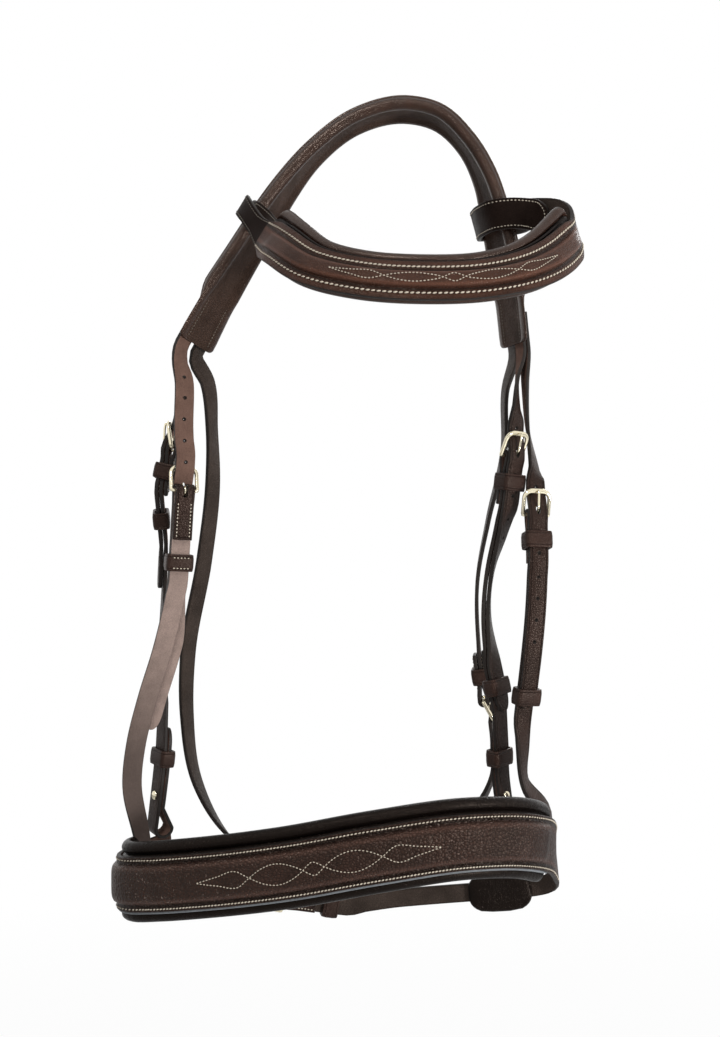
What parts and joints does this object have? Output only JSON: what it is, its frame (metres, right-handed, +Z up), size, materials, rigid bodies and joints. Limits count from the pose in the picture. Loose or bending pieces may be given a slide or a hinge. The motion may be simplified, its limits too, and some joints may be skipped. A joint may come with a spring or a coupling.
{
  "type": "hunter bridle",
  "caption": "Hunter bridle hung by its headpiece: padded crown, looped browband, wide raised noseband, buckled cheekpieces, throatlatch and chin strap.",
  "frame": {"origin": "underside of the headpiece at the top of its arch, where it hangs on its hook", "axes": "+X to the viewer's right across the hanging bridle, -Y towards the viewer (the horse's face side, where the browband is), +Z up"},
  "size_m": [0.2998, 0.1922, 0.5533],
  "materials": {
    "strap_leather": "satin",
    "keeper_leather": "satin",
    "lining": "matt",
    "padding_leather": "satin",
    "metal": "polished"
  },
  "bodies": {
    "bridle_leatherwork": {"bit_left_keeper": "keeper_leather", "bit_left_stud": "metal", "bit_right_keeper": "keeper_leather", "bit_right_stud": "metal", "browband_leather": "strap_leather", "browband_pad": "padding_leather", "cheek_left_billet": "strap_leather", "cheek_left_keeper": "keeper_leather", "cheek_left_strap": "strap_leather", "cheek_right_billet": "strap_leather", "cheek_right_keeper": "keeper_leather", "cheek_right_strap": "strap_leather", "chin_billet": "strap_leather", "chin_pad": "padding_leather", "chin_strap": "strap_leather", "crown_leather": "strap_leather", "crown_pad": "lining", "nose_left_billet": "strap_leather", "nose_left_hanger": "strap_leather", "nose_left_keeper": "keeper_leather", "nose_right_billet": "strap_leather", "nose_right_hanger": "strap_leather", "nose_right_keeper": "keeper_leather", "noseband_leather": "strap_leather", "noseband_pad": "padding_leather", "throat_keeper": "keeper_leather", "throat_strap": "strap_leather", "throatlatch": "strap_leather"},
    "cheek_left_buckle": {"cheek_left_buckle": "metal"},
    "cheek_left_prong": {"cheek_left_prong": "metal"},
    "cheek_right_buckle": {"cheek_right_buckle": "metal"},
    "cheek_right_prong": {"cheek_right_prong": "metal"},
    "chin_buckle": {"chin_buckle": "metal"},
    "chin_prong": {"chin_prong": "metal"},
    "nose_left_buckle": {"nose_left_buckle": "metal"},
    "nose_left_prong": {"nose_left_prong": "metal"},
    "nose_right_buckle": {"nose_right_buckle": "metal"},
    "nose_right_prong": {"nose_right_prong": "metal"},
    "throat_buckle": {"throat_buckle": "metal"},
    "throat_prong": {"throat_prong": "metal"},
    "cheek_left_runner": {"cheek_left_runner": "keeper_leather"},
    "cheek_right_runner": {"cheek_right_runner": "keeper_leather"},
    "chin_runner": {"chin_runner": "keeper_leather"},
    "nose_right_runner": {"nose_right_runner": "keeper_leather"}
  },
  "joints": [
    {"name": "cheek_left_buckle_tilt", "type": "hinge", "parent": "bridle_leatherwork", "child": "cheek_left_buckle", "pos_m": [-0.15227, -0.00413, -0.22026], "axis": [-0.0466, -0.9988, 0.0164], "range_deg": [0, 4]},
    {"name": "cheek_left_prong_lift", "type": "hinge", "parent": "cheek_left_buckle", "child": "cheek_left_prong", "pos_m": [-0.15227, -0.00413, -0.22026], "axis": [-0.0466, -0.9988, 0.0164], "range_deg": [0, 6]},
    {"name": "cheek_right_buckle_tilt", "type": "hinge", "parent": "bridle_leatherwork", "child": "cheek_right_buckle", "pos_m": [0.0687, -0.01168, -0.22631], "axis": [0.8073, 0.5861, -0.0687], "range_deg": [0, 4]},
    {"name": "cheek_right_prong_lift", "type": "hinge", "parent": "cheek_right_buckle", "child": "cheek_right_prong", "pos_m": [0.0687, -0.01168, -0.22631], "axis": [0.8073, 0.5861, -0.0687], "range_deg": [0, 6]},
    {"name": "chin_buckle_tilt", "type": "hinge", "parent": "bridle_leatherwork", "child": "chin_buckle", "pos_m": [-0.08269, 0.04871, -0.53025], "axis": [-0.1797, 0.0014, -0.9837], "range_deg": [0, 4]},
    {"name": "chin_prong_lift", "type": "hinge", "parent": "chin_buckle", "child": "chin_prong", "pos_m": [-0.08269, 0.04871, -0.53025], "axis": [-0.1797, 0.0014, -0.9837], "range_deg": [0, 6]},
    {"name": "nose_left_buckle_tilt", "type": "hinge", "parent": "bridle_leatherwork", "child": "nose_left_buckle", "pos_m": [-0.14333, -0.01984, -0.24892], "axis": [-0.9284, -0.3684, 0.0478], "range_deg": [0, 4]},
    {"name": "nose_left_prong_lift", "type": "hinge", "parent": "nose_left_buckle", "child": "nose_left_prong", "pos_m": [-0.14333, -0.01984, -0.24892], "axis": [-0.9284, -0.3684, 0.0478], "range_deg": [0, 6]},
    {"name": "nose_right_buckle_tilt", "type": "hinge", "parent": "bridle_leatherwork", "child": "nose_right_buckle", "pos_m": [0.08411, -0.01648, -0.26498], "axis": [0.9764, 0.2118, -0.0425], "range_deg": [0, 4]},
    {"name": "nose_right_prong_lift", "type": "hinge", "parent": "nose_right_buckle", "child": "nose_right_prong", "pos_m": [0.08411, -0.01648, -0.26498], "axis": [0.9764, 0.2118, -0.0425], "range_deg": [0, 6]},
    {"name": "throat_buckle_tilt", "type": "hinge", "parent": "bridle_leatherwork", "child": "throat_buckle", "pos_m": [0.05512, 0.03415, -0.3908], "axis": [-0.1411, -0.9875, -0.07], "range_deg": [0, 4]},
    {"name": "throat_prong_lift", "type": "hinge", "parent": "throat_buckle", "child": "throat_prong", "pos_m": [0.05512, 0.03415, -0.3908], "axis": [-0.1411, -0.9875, -0.07], "range_deg": [0, 6]},
    {"name": "cheek_left_runner_slide", "type": "slide", "parent": "bridle_leatherwork", "child": "cheek_left_runner", "axis": [0.0639, 0.2231, -0.9727], "range_m": [-0.003, 0.003]},
    {"name": "cheek_right_runner_slide", "type": "slide", "parent": "bridle_leatherwork", "child": "cheek_right_runner", "axis": [0.2037, -0.0408, -0.9782], "range_m": [-0.003, 0.003]},
    {"name": "chin_runner_slide", "type": "slide", "parent": "bridle_leatherwork", "child": "chin_runner", "axis": [0.9643, 0.1978, -0.1759], "range_m": [-0.003, 0.003]},
    {"name": "nose_right_runner_slide", "type": "slide", "parent": "bridle_leatherwork", "child": "nose_right_runner", "axis": [-0.107, 0.1062, -0.9886], "range_m": [-0.003, 0.003]}
  ]
}
